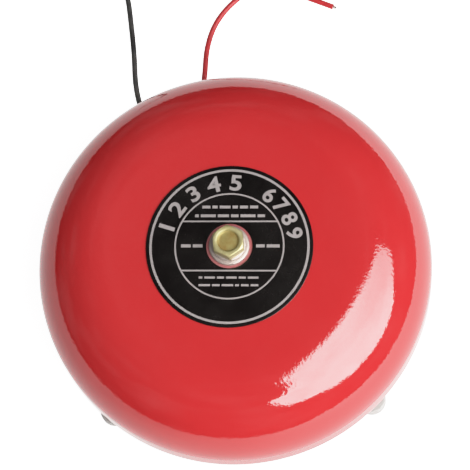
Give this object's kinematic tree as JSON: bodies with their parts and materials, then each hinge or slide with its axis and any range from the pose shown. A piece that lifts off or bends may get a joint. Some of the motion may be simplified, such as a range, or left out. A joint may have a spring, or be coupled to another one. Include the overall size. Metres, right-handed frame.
{
  "type": "fire alarm bell",
  "caption": "Round motor-driven alarm bell: red gong with a printed face plate over a sealed striker mechanism on a cast base with fixing lugs, two supply leads.",
  "frame": {"origin": "centre of the flat mounting face of the cast base, on the gong's axis", "axes": "+Z along the gong's axis, out of the mounting face towards the bolt; +Y towards the side where the two supply leads come out; +X along the striker"},
  "size_m": [0.15, 0.2188, 0.0596],
  "materials": {
    "gong_red": "gloss stove enamel",
    "face_print": "printed satin",
    "zinc_yellow": "yellow passivated zinc plate",
    "zinc_clear": "clear zinc plate",
    "steel": "ground",
    "spring_steel": "oiled",
    "base_grey": "die cast, light grey powder coat",
    "cover_grey": "moulded, fine texture",
    "rubber_black": "matt",
    "fibre_red": "vulcanised fibre",
    "bronze": "sintered",
    "brass": "bright",
    "acetal_white": "smooth",
    "motor_steel": "nickel plate",
    "motor_cap": "moulded",
    "magnet": "ferrite",
    "board_green": "solder mask",
    "capacitor_box": "moulded box",
    "capacitor_can": "shrink sleeve",
    "chip_black": "moulded",
    "resistor_body": "lacquered",
    "black_pvc": "soft PVC",
    "red_pvc": "soft PVC",
    "grey_pvc": "soft PVC",
    "tinned_copper": "tinned strands"
  },
  "bodies": {
    "housing": {"axle_clip": "spring_steel", "base_casting": "base_grey", "base_gasket": "rubber_black", "black_lead": "black_pvc", "black_lead_end": "tinned_copper", "black_lead_tail": "black_pvc", "board_screws": "zinc_clear", "bridge_rectifier": "chip_black", "cam_axle": "steel", "circuit_board": "board_green", "cover_screws": "zinc_clear", "electrolytic_capacitor": "capacitor_can", "film_capacitor": "capacitor_box", "gong_pillar": "zinc_clear", "lead_gland": "rubber_black", "mechanism_cover": "cover_grey", "mechanism_plate": "zinc_clear", "motor_can": "motor_steel", "motor_end_cap": "motor_cap", "motor_magnets": "magnet", "motor_screws": "zinc_clear", "motor_terminals": "brass", "motor_wires": "grey_pvc", "pillar_seal": "rubber_black", "plate_screws": "zinc_clear", "red_lead": "red_pvc", "red_lead_end": "tinned_copper", "red_lead_tail": "red_pvc", "resistors": "resistor_body", "seat_washer": "fibre_red", "striker_bush": "bronze", "striker_spring": "spring_steel"},
    "gong": {"gong": "gong_red", "face_plate": "face_print"},
    "washers": {"flat_washer": "zinc_yellow", "spring_washer": "zinc_yellow"},
    "bolt": {"gong_bolt": "zinc_yellow"},
    "motor_spindle": {"motor_shaft": "steel", "motor_armature": "steel", "pinion": "brass"},
    "cam": {"cam_gear": "acetal_white"},
    "striker": {"striker_rod": "steel", "striker_head": "steel", "striker_yoke": "zinc_clear", "follower_pin": "steel", "stop_clip": "spring_steel"}
  },
  "joints": [
    {"name": "striker_slide", "type": "slide", "parent": "housing", "child": "striker", "axis": [-1, 0, 0], "range_m": [0, 0.003], "stiffness_N_per_m": 150, "springref_m": -0.004, "deforming": ["striker_spring"]},
    {"name": "motor_turn", "type": "hinge", "parent": "housing", "child": "motor_spindle", "pos_m": [0.018, 0.0144, 0.027], "axis": [0, 0, 1], "range_deg": [0, 900]},
    {"name": "cam_turn", "type": "hinge", "parent": "housing", "child": "cam", "pos_m": [0.018, 0, 0.015], "axis": [0, 0, 1], "range_deg": [-300, 0]},
    {"name": "gong_pull", "type": "slide", "parent": "housing", "child": "gong", "axis": [0, 0, 1], "range_m": [0, 0.07]},
    {"name": "bolt_rise", "type": "slide", "parent": "gong", "child": "washers", "axis": [0, 0, 1], "range_m": [0, 0.01397]},
    {"name": "bolt_turn", "type": "hinge", "parent": "washers", "child": "bolt", "pos_m": [0, 0, 0.055], "axis": [0, 0, 1], "range_deg": [0, 3960]}
  ],
  "couplings": [
    {"joint": "motor_turn", "follows": "striker_slide", "rad_per_m": 5236},
    {"joint": "cam_turn", "follows": "striker_slide", "rad_per_m": -1745.3},
    {"joint": "bolt_turn", "follows": "bolt_rise", "rad_per_m": 4947.4}
  ]
}
